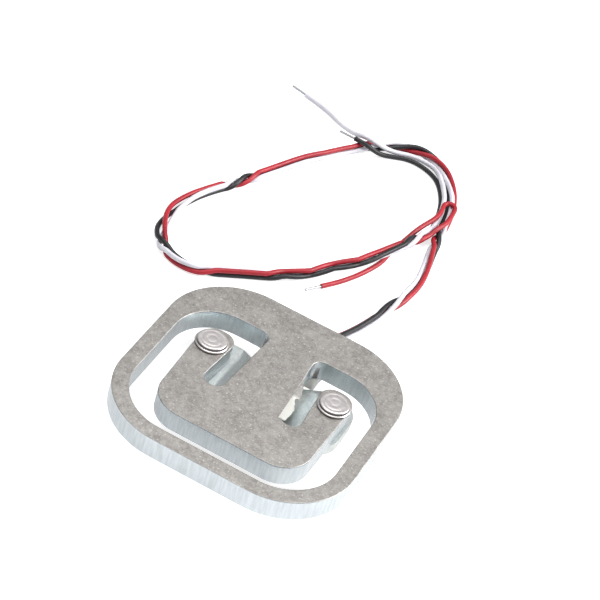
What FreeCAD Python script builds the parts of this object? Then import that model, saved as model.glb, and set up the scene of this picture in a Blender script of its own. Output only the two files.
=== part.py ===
"""Half-bridge load cell for a platform scale: a stamped steel sensing plate with a sprung tongue,
a force bracket riveted under its two arms, foil strain gauges on the beam and a three-wire lead.

Millimetres. Z is up, the flat face of the plate is on top and the lead leaves towards +Y.
The origin is under the middle of the plate, at the level of the load button that the cell stands on.
"""
import FreeCAD
import Part
import math
import os
import Sketcher

VECTOR = FreeCAD.Vector
UP = VECTOR(0, 0, 1)
SMALL = 1e-6

# Every driving size, one value each, in millimetres.
SIZES = {
    # sensing plate, seen from above: a square ring around a window, with the tongue hung in it
    "plate_side": 34.0,
    "plate_corner": 10.3,
    "plate_thickness": 3.0,
    "plate_edge_round": 0.15,
    "ring_side": 2.4,
    "ring_front": 2.45,
    "ring_back": 6.6,
    "window_front_corner": 7.6,
    "window_back_corner": 6.5,
    "gap_front": 3.4,
    "gap_side_front": 3.8,
    "gap_side_tip": 3.25,
    "gap_tip": 3.65,
    "tongue_corner": 4.4,
    "arm_tip_width": 4.95,
    "arm_outer_round": 2.3,
    "arm_inner_round": 2.0,
    "beam_length": 13.7,
    "beam_root_half_width": 3.6,
    "beam_foot_half_width": 4.3,
    "beam_root_round": 1.5,
    "slot_foot_width": 2.9,
    "slot_round": 1.25,
    # rivets
    "rivet_to_side": 2.2,
    "rivet_to_tip": 3.15,
    "rivet_shank": 3.0,
    "rivet_head": 4.6,
    "rivet_head_flat": 3.9,
    "rivet_head_height": 0.75,
    "rivet_foot": 4.8,
    "rivet_foot_height": 0.7,
    "rivet_foot_round": 0.35,
    # force bracket
    "bracket_sheet": 1.5,
    "bracket_depth": 10.0,
    "flange_margin": 2.45,
    "flange_end_round": 3.0,
    "web_to_rivet": 3.1,
    "crown_half_width": 3.0,
    "bracket_drop": 1.54,
    "bracket_bend_round": 1.2,
    "button_height": 1.46,
    "button_base": 6.4,
    "button_face": 5.2,
    "button_round": 0.4,
    "button_dish": 4.0,
    "button_dish_depth": 1.0,
    # strain gauges under the beam
    "gauge_spread": 3.7,
    "film_width": 4.4,
    "film_length": 5.4,
    "film_thickness": 0.1,
    "grid_lines": 10,
    "grid_line_width": 0.13,
    "grid_pitch": 0.26,
    "grid_length": 2.6,
    "grid_thickness": 0.05,
    "tab_width": 1.05,
    "tab_length": 0.9,
    # terminal strip under the back of the ring
    "strip_offset": 0.6,
    "strip_setback": 0.3,
    "strip_width": 6.8,
    "strip_depth": 3.2,
    "strip_thickness": 0.5,
    "pad_pitch": 1.8,
    "pad_width": 1.3,
    "pad_length": 2.2,
    "pad_thickness": 0.06,
    "solder_width": 1.2,
    "solder_height": 0.75,
    "core_diameter": 0.36,
    "link_diameter": 0.16,
    # silicone over the gauges and the strip
    "coat_margin_side": 1.0,
    "coat_margin_front": 1.1,
    "crown_clearance": 0.34,
    "cap_margin_side": 1.2,
    "cap_margin_front": 1.1,
    "cap_margin_back": 2.1,
    "cap_cover": 0.79,
    "coat_round": 0.5,
    # lead
    "wire_diameter": 0.75,
    "bundle_diameter": 1.68,
    "tip_diameter": 0.4,
    "tip_length": 2.6,
}

doc = FreeCAD.newDocument("load_cell")
sheet = doc.addObject("Spreadsheet::Sheet", "Sizes")
for row, (alias, value) in enumerate(SIZES.items(), start=1):
    sheet.set(f"A{row}", alias)
    sheet.set(f"B{row}", str(value))
    sheet.setAlias(f"B{row}", alias)
doc.recompute()


def size(alias):
    return float(sheet.get(alias))


# ---------------------------------------------------------------- helpers for sketches and features


def new_body(label):
    body = doc.addObject("PartDesign::Body", label)
    body.Label = label
    return body


def plane(body, role):
    return next(f for f in body.Origin.OriginFeatures if f.Role == role)


def new_sketch(body, name, role, level=None):
    """A sketch on one of the body's own origin planes, raised to the level that an expression gives."""
    sketch = body.newObject("Sketcher::SketchObject", name)
    sketch.AttachmentSupport = [(plane(body, role), "")]
    sketch.MapMode = "FlatFace"
    if level:
        sketch.setExpression("AttachmentOffset.Base.z", level)
    return sketch


def bind(sketch, constraint, expression):
    index = sketch.addConstraint(constraint)
    sketch.setExpression(f"Constraints[{index}]", expression)


def draw_polygon(sketch, corners):
    """A closed outline of straight lines whose corners are pairs of expressions (x, y) in the sheet's terms."""
    points = [VECTOR(value_of(x), value_of(y), 0) for x, y in corners]
    lines = [sketch.addGeometry(Part.LineSegment(a, b), False) for a, b in zip(points, points[1:] + points[:1])]
    for line, following in zip(lines, lines[1:] + lines[:1]):
        sketch.addConstraint(Sketcher.Constraint("Coincident", line, 2, following, 1))
    for line, point, (x, y) in zip(lines, points, corners):
        bind(sketch, Sketcher.Constraint("DistanceX", -1, 1, line, 1, point.x), x)
        bind(sketch, Sketcher.Constraint("DistanceY", -1, 1, line, 1, point.y), y)
    return lines


def draw_circle(sketch, x, y, diameter):
    place = VECTOR(value_of(x), value_of(y), 0)
    circle = sketch.addGeometry(Part.Circle(place, UP, value_of(diameter) / 2), False)
    bind(sketch, Sketcher.Constraint("DistanceX", -1, 1, circle, 3, place.x), x)
    bind(sketch, Sketcher.Constraint("DistanceY", -1, 1, circle, 3, place.y), y)
    bind(sketch, Sketcher.Constraint("Diameter", circle, value_of(diameter)), diameter)


def value_of(expression):
    """The number that an expression of the sheet has now."""
    result = sheet.evalExpression(expression)
    return float(getattr(result, "Value", result))


def pad(body, sketch, length, name, centred=False):
    feature = body.newObject("PartDesign::Pad", name)
    feature.Profile = sketch
    feature.setExpression("Length", length)
    feature.Midplane = centred
    doc.recompute()
    return feature


def pocket(body, sketch, depth, name):
    """Cuts downwards from the sketch, and makes sure that it cuts."""
    before = body.Tip.Shape.Volume
    feature = body.newObject("PartDesign::Pocket", name)
    feature.Profile = sketch
    feature.setExpression("Length", depth)
    doc.recompute()
    if feature.Shape.Volume > before - SMALL:
        feature.Reversed = True
        doc.recompute()
    if feature.Shape.Volume > before - SMALL:
        raise ValueError(f"{name} cuts nothing")
    return feature


def edges_where(shape, test):
    return [f"Edge{i}" for i, edge in enumerate(shape.Edges, start=1) if test(edge)]


def is_line(edge, direction):
    a, b = edge.Vertexes[0].Point, edge.Vertexes[-1].Point
    return (b - a).cross(direction).Length < 1e-5 and (b - a).Length > 1e-5


def upright_near(places, within=0.02):
    """A test for upright edges that stand at one of the (x, y) places."""
    def test(edge):
        spot = edge.Vertexes[0].Point
        return is_line(edge, UP) and any(math.hypot(spot.x - x, spot.y - y) < within for x, y in places)
    return test


def fillet(body, test, radius, name):
    base = body.Tip
    names = edges_where(base.Shape, test)
    if not names:
        raise ValueError(f"{name} finds no edge")
    feature = body.newObject("PartDesign::Fillet", name)
    feature.Base = (base, names)
    feature.setExpression("Radius", radius)
    doc.recompute()
    return feature


def mirrored_places(x, y):
    return [(value_of(x), value_of(y)), (-value_of(x), value_of(y))]


def at_level(shape_object, level):
    shape_object.setExpression("Placement.Base.z", level)


# Levels above the surface that the load button stands on.
CROWN_UNDER = "Sizes.button_height"
CROWN_TOP = f"({CROWN_UNDER} + Sizes.bracket_sheet)"
PLATE_UNDER = f"({CROWN_TOP} + Sizes.bracket_drop)"
PLATE_TOP = f"({PLATE_UNDER} + Sizes.plate_thickness)"

# Lines that several pieces share, measured from the middle of the plate.
HALF_SIDE = "(Sizes.plate_side / 2)"
WINDOW_SIDE = f"({HALF_SIDE} - Sizes.ring_side)"
WINDOW_FRONT = f"(Sizes.ring_front - {HALF_SIDE})"
WINDOW_BACK = f"({HALF_SIDE} - Sizes.ring_back)"
ARM_TIP = f"({WINDOW_BACK} - Sizes.gap_tip)"
ARM_SIDE = f"({WINDOW_SIDE} - Sizes.gap_side_tip)"
SLOT_FOOT = f"({WINDOW_BACK} - Sizes.beam_length)"
RIVET_OFFSET = f"({ARM_SIDE} - Sizes.rivet_to_side)"
RIVET_LINE = f"({ARM_TIP} - Sizes.rivet_to_tip)"
STRIP_FRONT = f"({WINDOW_BACK} + Sizes.strip_setback)"
STRIP_LINE = f"({STRIP_FRONT} + Sizes.strip_depth / 2)"


# ---------------------------------------------------------------- sensing plate


def slope_at(y, foot, tip):
    """The half width, at height y, of a line that leans from the slot's foot to the arm's tip."""
    return f"({foot} + ({tip} - {foot}) * ({y} - {SLOT_FOOT}) / ({ARM_TIP} - {SLOT_FOOT}))"


def beam_edge(y):
    return slope_at(y, "Sizes.beam_foot_half_width", "Sizes.beam_root_half_width")


def arm_edge(y):
    return slope_at(y, "(Sizes.beam_foot_half_width + Sizes.slot_foot_width)", f"({ARM_SIDE} - Sizes.arm_tip_width)")


def add_sensing_plate():
    """One stamped plate: the outer ring, the beam from its back, and the tongue whose arms turn back beside the beam."""
    body = new_body("sensing_plate")

    outline = new_sketch(body, "plate_outline", "XY_Plane")
    half = HALF_SIDE
    draw_polygon(outline, [(f"-{half}", f"-{half}"), (half, f"-{half}"), (half, half), (f"-{half}", half)])
    pad(body, outline, "Sizes.plate_thickness", "plate_blank")

    window = new_sketch(body, "window_outline", "XY_Plane", "Sizes.plate_thickness")
    wide, front, back = WINDOW_SIDE, WINDOW_FRONT, WINDOW_BACK
    draw_polygon(window, [(f"-{wide}", front), (wide, front), (wide, back), (f"-{wide}", back)])
    pocket(body, window, "Sizes.plate_thickness", "window")
    fillet(body, upright_near(mirrored_places(wide, front)), "Sizes.window_front_corner", "window_front_corners")
    fillet(body, upright_near(mirrored_places(wide, back)), "Sizes.window_back_corner", "window_back_corners")
    fillet(body, upright_near(mirrored_places(half, half) + mirrored_places(half, f"-{half}")),
           "Sizes.plate_corner", "plate_corners")

    beam = new_sketch(body, "beam_outline", "XY_Plane")
    root, foot = f"({back} + Sizes.ring_back / 2)", f"({SLOT_FOOT} - Sizes.slot_round)"
    draw_polygon(beam, [(f"-{beam_edge(foot)}", foot), (beam_edge(foot), foot),
                        (beam_edge(root), root), (f"-{beam_edge(root)}", root)])
    pad(body, beam, "Sizes.plate_thickness", "beam")
    fillet(body, upright_near(mirrored_places(beam_edge(back), back)), "Sizes.beam_root_round", "beam_root")

    tongue = new_sketch(body, "tongue_outline", "XY_Plane")
    low, high = f"({WINDOW_SIDE} - Sizes.gap_side_front)", ARM_SIDE
    tip, end, slot = ARM_TIP, f"({WINDOW_FRONT} + Sizes.gap_front)", SLOT_FOOT
    draw_polygon(tongue, [
        (f"-{low}", end), (low, end), (high, tip), (arm_edge(tip), tip), (arm_edge(slot), slot),
        (beam_edge(slot), slot), (f"-{beam_edge(slot)}", slot), (f"-{arm_edge(slot)}", slot),
        (f"-{arm_edge(tip)}", tip), (f"-{high}", tip)])
    pad(body, tongue, "Sizes.plate_thickness", "tongue")
    fillet(body, upright_near(mirrored_places(low, end)), "Sizes.tongue_corner", "tongue_corners")
    fillet(body, upright_near(mirrored_places(high, tip)), "Sizes.arm_outer_round", "arm_tips_outside")
    fillet(body, upright_near(mirrored_places(arm_edge(tip), tip)), "Sizes.arm_inner_round", "arm_tips_inside")
    fillet(body, upright_near(mirrored_places(arm_edge(slot), slot) + mirrored_places(beam_edge(slot), slot)),
           "Sizes.slot_round", "slot_feet")

    top = value_of("Sizes.plate_thickness")
    fillet(body, lambda edge: all(abs(v.Point.z - top) < SMALL for v in edge.Vertexes),
           "Sizes.plate_edge_round", "rolled_edges")

    holes = new_sketch(body, "rivet_holes_outline", "XY_Plane", "Sizes.plate_thickness")
    for x in (f"-{RIVET_OFFSET}", RIVET_OFFSET):
        draw_circle(holes, x, RIVET_LINE, "Sizes.rivet_shank")
    pocket(body, holes, "Sizes.plate_thickness", "rivet_holes")
    at_level(body, PLATE_UNDER)
    return body


# ---------------------------------------------------------------- force bracket and rivets


def add_force_bracket():
    """A strap folded to a shallow hat: two flanges under the arms, sloping webs and a crown with the load button."""
    body = new_body("force_bracket")
    sheet_thick = "Sizes.bracket_sheet"
    reach, head = f"({RIVET_OFFSET} + Sizes.flange_margin)", f"({RIVET_OFFSET} - Sizes.web_to_rivet)"
    foot = "Sizes.crown_half_width"
    shift = f"({sheet_thick} * tan(atan(Sizes.bracket_drop / ({head} - {foot})) / 2))"
    flange, crown = "Sizes.bracket_drop", "0"

    profile = new_sketch(body, "strap_profile", "XZ_Plane")
    upper = [(reach, flange), (head, flange), (foot, crown)]
    lower = [(f"({foot} + {shift})", f"-{sheet_thick}"),
             (f"({head} + {shift})", f"({flange} - {sheet_thick})"), (reach, f"({flange} - {sheet_thick})")]
    left_upper = [(f"-{x}", z) for x, z in reversed(upper)]
    left_lower = [(f"-{x}", z) for x, z in reversed(lower)]
    draw_polygon(profile, upper + left_upper + left_lower + lower)
    pad(body, profile, "Sizes.bracket_depth", "strap", centred=True)

    bends = [(value_of(x), value_of(z)) for x, z in upper[1:] + lower[:2]]

    def is_bend(edge):
        spot = edge.Vertexes[0].Point
        along = is_line(edge, VECTOR(0, 1, 0))
        return along and any(math.hypot(abs(spot.x) - x, spot.z - z) < 0.01 for x, z in bends)

    fillet(body, is_bend, "Sizes.bracket_bend_round", "bends")
    half_depth = "Sizes.bracket_depth / 2"
    fillet(body, upright_near(mirrored_places(reach, half_depth) + mirrored_places(reach, f"-{half_depth}")),
           "Sizes.flange_end_round", "flange_ends")

    button = new_sketch(body, "button_section", "XZ_Plane")
    base, face, low = "Sizes.button_base / 2", "Sizes.button_face / 2", f"(-{sheet_thick} - Sizes.button_height)"
    inside = f"(-{sheet_thick} / 2)"
    section = draw_polygon(button, [("0", low), (face, low), (base, f"-{sheet_thick}"), (base, inside), ("0", inside)])
    revolve(body, button, "button")
    face_edge = value_of(face)
    fillet(body, lambda edge: abs(edge.BoundBox.ZMax - value_of(low)) < 1e-4
           and abs(edge.BoundBox.XMax - face_edge) < 1e-4, "Sizes.button_round", "button_rim")

    dish = new_sketch(body, "button_dish_outline", "XY_Plane")
    draw_circle(dish, "0", "0", "Sizes.button_dish")
    pocket(body, dish, "Sizes.button_dish_depth", "button_dish")

    holes = new_sketch(body, "flange_holes_outline", "XY_Plane", flange)
    for x in (f"-{RIVET_OFFSET}", RIVET_OFFSET):
        draw_circle(holes, x, "0", "Sizes.rivet_shank")
    pocket(body, holes, sheet_thick, "flange_holes")
    body.setExpression("Placement.Base.y", RIVET_LINE)
    at_level(body, CROWN_TOP)
    return body


def revolve(body, sketch, name):
    feature = body.newObject("PartDesign::Revolution", name)
    feature.Profile = sketch
    feature.ReferenceAxis = (sketch, ["V_Axis"])
    feature.Angle = 360
    doc.recompute()
    return feature


def add_rivet(label, side):
    """A solid rivet: flat head with a bevelled rim on the plate, shank, and an upset foot under the flange."""
    body = new_body(label)
    section = new_sketch(body, f"{label}_section", "XZ_Plane")
    head, flat, shank = "Sizes.rivet_head / 2", "Sizes.rivet_head_flat / 2", "Sizes.rivet_shank / 2"
    foot, top = "Sizes.rivet_foot / 2", "Sizes.rivet_head_height"
    grip = "(Sizes.plate_thickness + Sizes.bracket_sheet)"
    bevel = f"({top} - ({head} - {flat}) / 2)"
    draw_polygon(section, [
        ("0", top), (flat, top), (head, bevel), (head, "0"), (shank, "0"), (shank, f"-{grip}"),
        (foot, f"-{grip}"), (foot, f"(-{grip} - Sizes.rivet_foot_height)"), ("0", f"(-{grip} - Sizes.rivet_foot_height)")])
    revolve(body, section, f"{label}_turned")
    low, wide = -value_of(grip) - value_of("Sizes.rivet_foot_height"), value_of(foot)
    fillet(body, lambda edge: abs(edge.BoundBox.ZMax - low) < 1e-4 and abs(edge.BoundBox.XMax - wide) < 1e-4,
           "Sizes.rivet_foot_round", f"{label}_upset")
    body.setExpression("Placement.Base.x", f"{side} * {RIVET_OFFSET}")
    body.setExpression("Placement.Base.y", RIVET_LINE)
    at_level(body, PLATE_TOP)
    return body


# ---------------------------------------------------------------- gauges, strip and joints


def part_feature(label, shape, base=None):
    feature = doc.addObject("Part::Feature", label)
    feature.Shape = shape
    feature.Placement = FreeCAD.Placement(base or VECTOR(), FreeCAD.Rotation())
    return feature


def add_box(label, width, depth, height, x, y, z):
    """A plate centred on (x, y) that hangs below the level z; all are expressions."""
    box = doc.addObject("Part::Box", label)
    box.setExpression("Length", width)
    box.setExpression("Width", depth)
    box.setExpression("Height", height)
    box.setExpression("Placement.Base.x", f"{x} - {width} / 2")
    box.setExpression("Placement.Base.y", f"{y} - {depth} / 2")
    box.setExpression("Placement.Base.z", f"{z} - {height}")
    return box


def gauge_line(side):
    return value_of(f"({RIVET_LINE} + {side} * Sizes.gauge_spread)")


def serpentine(side):
    """The gauge's foil: parallel lines along the beam, joined by turns, with a solder tab at each end."""
    count, pitch, width = int(size("grid_lines")), size("grid_pitch"), size("grid_line_width")
    length, thick = size("grid_length"), size("grid_thickness")
    tab_width, tab_length = size("tab_width"), size("tab_length")
    left = -pitch * (count - 1) / 2
    far, near = side * length / 2, -side * length / 2

    def strip(x0, y0, x1, y1):
        corner = VECTOR(min(x0, x1), min(y0, y1), 0)
        return Part.makeBox(abs(x1 - x0), abs(y1 - y0), thick, corner)

    foil = []
    for i in range(count):
        x = left + i * pitch
        foil.append(strip(x - width / 2, near, x + width / 2, far))
        if i + 1 < count:
            end = far if i % 2 == 0 else near
            inner = end - math.copysign(width, end)
            foil.append(strip(x - width / 2, inner, x + pitch + width / 2, end))
    for i in (0, count - 1):
        x = left + i * pitch
        outward = math.copysign(width / 2, x)
        foil.append(strip(x + outward, near - side * tab_length, x + outward - math.copysign(tab_width, x), near))
    return foil[0].multiFuse(foil[1:]).removeSplitter()


def add_gauge(place, side):
    """A foil strain gauge: polyimide film against the beam and the metal grid on its lower face."""
    line = f"({RIVET_LINE} + {side} * Sizes.gauge_spread)"
    film = add_box(f"gauge_film_{place}", "Sizes.film_width", "Sizes.film_length", "Sizes.film_thickness",
                   "0", line, PLATE_UNDER)
    level = value_of(PLATE_UNDER) - size("film_thickness") - size("grid_thickness")
    grid = part_feature(f"gauge_grid_{place}", serpentine(side), VECTOR(0, gauge_line(side), level))
    return [film, grid]


def pad_places():
    return [(size("strip_offset") + i * size("pad_pitch"), value_of(STRIP_LINE)) for i in (-1, 0, 1)]


def pad_face_level():
    return value_of(PLATE_UNDER) - size("strip_thickness") - size("pad_thickness")


def add_terminal_strip():
    """A small board with three soldering pads, glued under the back of the plate."""
    strip = add_box("terminal_strip", "Sizes.strip_width", "Sizes.strip_depth", "Sizes.strip_thickness",
                    "Sizes.strip_offset", STRIP_LINE, PLATE_UNDER)
    width, length, thick = size("pad_width"), size("pad_length"), size("pad_thickness")
    pads = [Part.makeBox(width, length, thick, VECTOR(x - width / 2, y - length / 2, pad_face_level()))
            for x, y in pad_places()]
    return [strip, part_feature("terminal_pads", Part.makeCompound(pads))]


def core_level():
    """The height of the bare cores, halfway down the solder joints."""
    return pad_face_level() - size("solder_height") / 2


def insulation_line():
    """Where the insulation of the wires begins, just behind the strip."""
    return value_of(STRIP_FRONT) + size("strip_depth") + size("wire_diameter") / 4


def add_solder_joint(colour, place):
    """A domed solder joint on its pad, with the wire's bare core leaving it towards the lead."""
    x, y = place
    half, tall = size("solder_width") / 2, size("solder_height")
    dome = (half * half + tall * tall) / (2 * tall)
    centre = VECTOR(x, y, pad_face_level() - tall + dome)
    ball = Part.makeSphere(dome, centre)
    below = Part.makeBox(4 * dome, 4 * dome, 4 * dome, VECTOR(x - 2 * dome, y - 2 * dome, pad_face_level() - 4 * dome))
    core = Part.makeCylinder(size("core_diameter") / 2, insulation_line() - y, VECTOR(x, y, core_level()),
                             VECTOR(0, 1, 0))
    return part_feature(f"solder_joint_{colour}", ball.common(below).fuse(core).removeSplitter())


def add_link_wires():
    """Fine lacquered wires from the tabs of the gauges to the pads, lying along the underside of the plate."""
    radius = size("link_diameter") / 2
    tab = size("grid_pitch") * (size("grid_lines") - 1) / 2 + size("grid_line_width") / 2 - size("tab_width") / 2
    level = value_of(PLATE_UNDER) - size("film_thickness") - size("grid_thickness") - radius
    tab_middle = size("grid_length") / 2 + size("tab_length") / 2
    front_tabs = gauge_line(-1) + tab_middle
    back_tabs = gauge_line(1) - tab_middle
    strip_front = value_of(STRIP_FRONT)
    pad_front = value_of(STRIP_LINE) - size("pad_length") / 2
    edge = size("film_width") / 2 + 2 * radius
    low = pad_face_level() - radius
    solids = []
    for side in (-1, 1):
        pad = size("strip_offset") + side * size("pad_pitch")
        outer = [VECTOR(side * tab, back_tabs, level), VECTOR(side * edge, back_tabs + tab, level),
                 VECTOR(side * edge, strip_front - size("cap_margin_front"), level),
                 VECTOR(pad, strip_front - 2 * radius, low), VECTOR(pad, pad_front + 3 * radius, low)]
        solids.append(bent_tube(outer, radius, smooth=False))
    middle = [VECTOR(tab, front_tabs, level), VECTOR(0, (front_tabs + back_tabs) / 2, level - 3 * radius),
              VECTOR(-tab, back_tabs, level)]
    solids.append(bent_tube(middle, radius, smooth=False))
    return part_feature("link_wires", Part.makeCompound(solids))


# ---------------------------------------------------------------- lead

FLOOR_LINE = size("bundle_diameter") / 2
WIRE_LINE = size("wire_diameter") / 2
TAIL_POINTS = 7
TAIL_FIRST = 0.13
STRAIGHT_OUT = 1.2

# Where the twisted bundle runs: down from behind the plate, once round its loose loop, and over its red wire
# to end beside its own first stretch.
BUNDLE_ROUTE = [
    (1.6, 19.0, 2.4), (2.4, 22.4, 1.9), (3.4, 26.2, 1.1), (4.4, 30.2, FLOOR_LINE), (5.2, 34.2, FLOOR_LINE),
    (6.0, 38.0, FLOOR_LINE), (6.5, 42.0, FLOOR_LINE), (6.0, 46.2, FLOOR_LINE), (5.15, 50.0, FLOOR_LINE),
    (4.5, 53.6, FLOOR_LINE), (4.2, 57.2, FLOOR_LINE), (3.6, 60.8, FLOOR_LINE), (2.6, 64.0, FLOOR_LINE),
    (1.0, 66.9, FLOOR_LINE), (-1.3, 69.9, FLOOR_LINE), (-4.1, 71.5, FLOOR_LINE), (-7.6, 71.45, FLOOR_LINE),
    (-10.5, 69.6, FLOOR_LINE), (-13.0, 67.0, FLOOR_LINE), (-15.4, 63.7, FLOOR_LINE), (-17.7, 59.8, FLOOR_LINE),
    (-20.0, 55.3, FLOOR_LINE), (-22.2, 50.0, FLOOR_LINE), (-24.6, 44.6, FLOOR_LINE), (-27.1, 39.8, FLOOR_LINE),
    (-28.5, 36.0, FLOOR_LINE), (-29.1, 31.6, FLOOR_LINE), (-28.3, 27.0, FLOOR_LINE), (-26.55, 24.1, FLOOR_LINE),
    (-23.64, 22.55, FLOOR_LINE), (-20.34, 22.72, FLOOR_LINE), (-17.6, 24.57, FLOOR_LINE), (-14.3, 27.0, FLOOR_LINE),
    (-11.1, 29.2, FLOOR_LINE), (-8.0, 32.3, FLOOR_LINE), (-5.3, 36.3, 0.95), (-2.7, 39.5, 1.5), (-0.9, 42.4, 1.68),
    (0.35, 45.5, 1.68), (1.5, 48.7, 1.5), (2.6, 51.9, 1.36),
]
# The white wire follows the inside of the loop, goes over the bundle in a low hump and out to its end.
WHITE_ROUTE = [
    (3.05, 54.8, 1.35), (2.97, 56.9, 1.08), (2.66, 58.8, 1.08), (2.34, 60.4, 1.08), (1.98, 61.85, 1.08),
    (1.44, 63.45, 1.08), (-0.1, 66.2, 1.06), (-2.1, 68.9, 0.9), (-4.5, 70.1, 0.5), (-7.2, 70.0, 0.42),
    (-9.7, 68.5, 0.6), (-11.2, 67.3, 1.55), (-12.7, 66.8, 2.15), (-14.3, 66.75, 2.1), (-16.2, 67.4, 1.3),
    (-18.6, 68.9, 0.5), (-22.9, 71.3, WIRE_LINE), (-26.7, 72.2, WIRE_LINE),
]
# The black wire lies inside the white one, climbs the bundle and ends on it.
BLACK_ROUTE = [
    (2.9, 54.6, 0.5), (2.67, 56.8, WIRE_LINE), (2.36, 58.8, WIRE_LINE), (2.05, 60.45, WIRE_LINE),
    (1.12, 63.35, WIRE_LINE), (-0.36, 66.0, WIRE_LINE), (-1.9, 67.7, WIRE_LINE), (-4.4, 68.8, WIRE_LINE),
    (-7.0, 68.9, WIRE_LINE), (-9.4, 67.55, WIRE_LINE), (-10.8, 66.5, 0.6), (-12.1, 65.75, 1.32), (-13.2, 65.35, 1.93),
    (-14.2, 65.22, 2.14), (-15.2, 65.35, 2.04),
]
# The red wire climbs the first stretch, folds back tightly on it, goes under the bundle and ends before the loop.
RED_ROUTE = [
    (3.84, 54.2, 2.04), (4.35, 55.7, 2.12), (4.52, 57.4, 2.08), (4.36, 59.2, 2.02), (4.2, 60.72, 2.05),
    (3.53, 61.26, 2.1), (2.74, 61.08, 2.07), (2.35, 60.42, 1.98), (2.7, 58.8, 1.9), (2.7, 57.2, 1.88),
    (2.35, 55.6, 1.8), (1.75, 54.1, 1.55), (1.25, 52.6, 1.15), (0.85, 51.0, 0.75), (0.5, 49.3, 0.45),
    (0.2, 47.5, WIRE_LINE), (0.0, 45.5, WIRE_LINE), (-0.02, 43.5, WIRE_LINE), (-0.56, 41.2, WIRE_LINE),
    (-1.39, 38.7, WIRE_LINE), (-2.48, 36.2, WIRE_LINE), (-3.71, 34.0, WIRE_LINE), (-4.75, 32.4, WIRE_LINE),
]


def rounded_path(points):
    """Straight runs joined by tangent arcs, each as large as its two runs allow. Returns the wire, its length and radii."""
    edges, radii, start = [], [], points[0]
    for before, corner, after in zip(points, points[1:], points[2:]):
        back, ahead = (before - corner), (after - corner)
        reach = 0.45 * min(back.Length, ahead.Length)
        turn = math.pi - back.getAngle(ahead)
        radius = reach / math.tan(turn / 2)
        back.normalize()
        ahead.normalize()
        first, last = corner + back * reach, corner + ahead * reach
        inward = back + ahead
        inward.normalize()
        centre = corner + inward * (radius / math.cos(turn / 2))
        towards = corner - centre
        towards.normalize()
        edges.append(Part.LineSegment(start, first).toShape())
        edges.append(Part.Arc(first, centre + towards * radius, last).toShape())
        radii.append(radius)
        start = last
    edges.append(Part.LineSegment(start, points[-1]).toShape())
    path = Part.Wire(edges)
    return path, path.Length, radii


def bent_tube(points, radius, smooth=True):
    """A round tube along the points, with arcs at its corners or, where smooth is off, mitred straight runs."""
    if smooth:
        path = rounded_path(points)[0]
    else:
        path = Part.makePolygon(points)
    start = points[0]
    ring = Part.Wire([Part.makeCircle(radius, start, points[1] - start)])
    return path.makePipeShell([ring], True, False, 1)


def add_cord(label, points, diameter):
    path, length, radii = rounded_path(points)
    tube = bent_tube(points, diameter / 2)
    expected = math.pi * diameter ** 2 / 4 * length
    print(f"{label}: {length:.1f} mm long, volume {tube.Volume:.2f} of {expected:.2f} mm3, "
          f"smallest radius {min(radii):.2f} mm")
    if abs(tube.Volume / expected - 1) > 0.02:
        raise ValueError(f"{label} has a volume of {tube.Volume} and should have {expected}")
    return part_feature(label, tube)


def wire_in_bundle(face, inside, angle):
    """Where a wire crosses the bundle's end face, at that angle round it, and the bundle's direction there."""
    along = face - inside
    along.normalize()
    across = along.cross(UP)
    across.normalize()
    over = across.cross(along)
    reach = (size("bundle_diameter") - size("wire_diameter")) / 2
    turn = math.radians(angle)
    return face + across * (reach * math.cos(turn)) + over * (reach * math.sin(turn)), along


def eased_route(start, heading, end, arrival, ease):
    """Points along one easy bend that leaves the start straight ahead and arrives at the end straight on."""
    reach = (end - start).Length * ease
    first, second = start + heading * reach, end - arrival * reach
    inner = TAIL_POINTS - 2
    shares = [TAIL_FIRST + (1 - 2 * TAIL_FIRST) * i / (inner - 1) for i in range(inner)]
    route = [start * (1 - t) ** 3 + first * (3 * t * (1 - t) ** 2) + second * (3 * t ** 2 * (1 - t)) + end * t ** 3
             for t in [0] + shares + [1]]
    route[1] = start + heading * (route[1] - start).Length
    route[-2] = end - arrival * (end - route[-2]).Length
    return route


def add_lead_tail(colour, place, angle, ease):
    """One insulated wire from its solder joint to the start of the twisted bundle."""
    face, inside = VECTOR(*BUNDLE_ROUTE[0]), VECTOR(*BUNDLE_ROUTE[1])
    end, out = wire_in_bundle(face, inside, angle)
    start = VECTOR(place[0], insulation_line(), core_level())
    route = eased_route(start, VECTOR(0, 1, 0), end, -out, ease)
    return add_cord(f"lead_tail_{colour}", route, size("wire_diameter"))


def add_wire_end(colour, angle, route):
    """One wire from the end of the twisted bundle to its tip, which is stripped and tinned."""
    face, inside = VECTOR(*BUNDLE_ROUTE[-1]), VECTOR(*BUNDLE_ROUTE[-2])
    start, out = wire_in_bundle(face, inside, angle)
    points = [start, start + out * STRAIGHT_OUT] + [VECTOR(*p) for p in route]
    wire = add_cord(f"wire_end_{colour}", points, size("wire_diameter"))
    return [wire, add_tinned_end(colour, points[-1], points[-2])]


def add_tinned_end(colour, last, before):
    """The stripped and tinned core beyond the insulation."""
    along = last - before
    along.normalize()
    core = Part.makeCylinder(size("tip_diameter") / 2, size("tip_length"), last, along)
    tip = core.fuse(Part.makeSphere(size("tip_diameter") / 2, last + along * size("tip_length")))
    return part_feature(f"tinned_end_{colour}", tip.removeSplitter())


# ---------------------------------------------------------------- silicone


def rounded_slab(middle, half_width, front, back, drop):
    """A slab under the plate, from front to back, with round corners and a round lower edge."""
    top = value_of(PLATE_UNDER)
    slab = Part.makeBox(2 * half_width, back - front, drop, VECTOR(middle - half_width, front, top - drop))
    corners = [edge for edge in slab.Edges if is_line(edge, UP)]
    slab = slab.makeFillet(2 * size("coat_round"), corners)
    rim = [edge for edge in slab.Edges if all(abs(v.Point.z - (top - drop)) < SMALL for v in edge.Vertexes)]
    return slab.makeFillet(size("coat_round"), rim)


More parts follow.
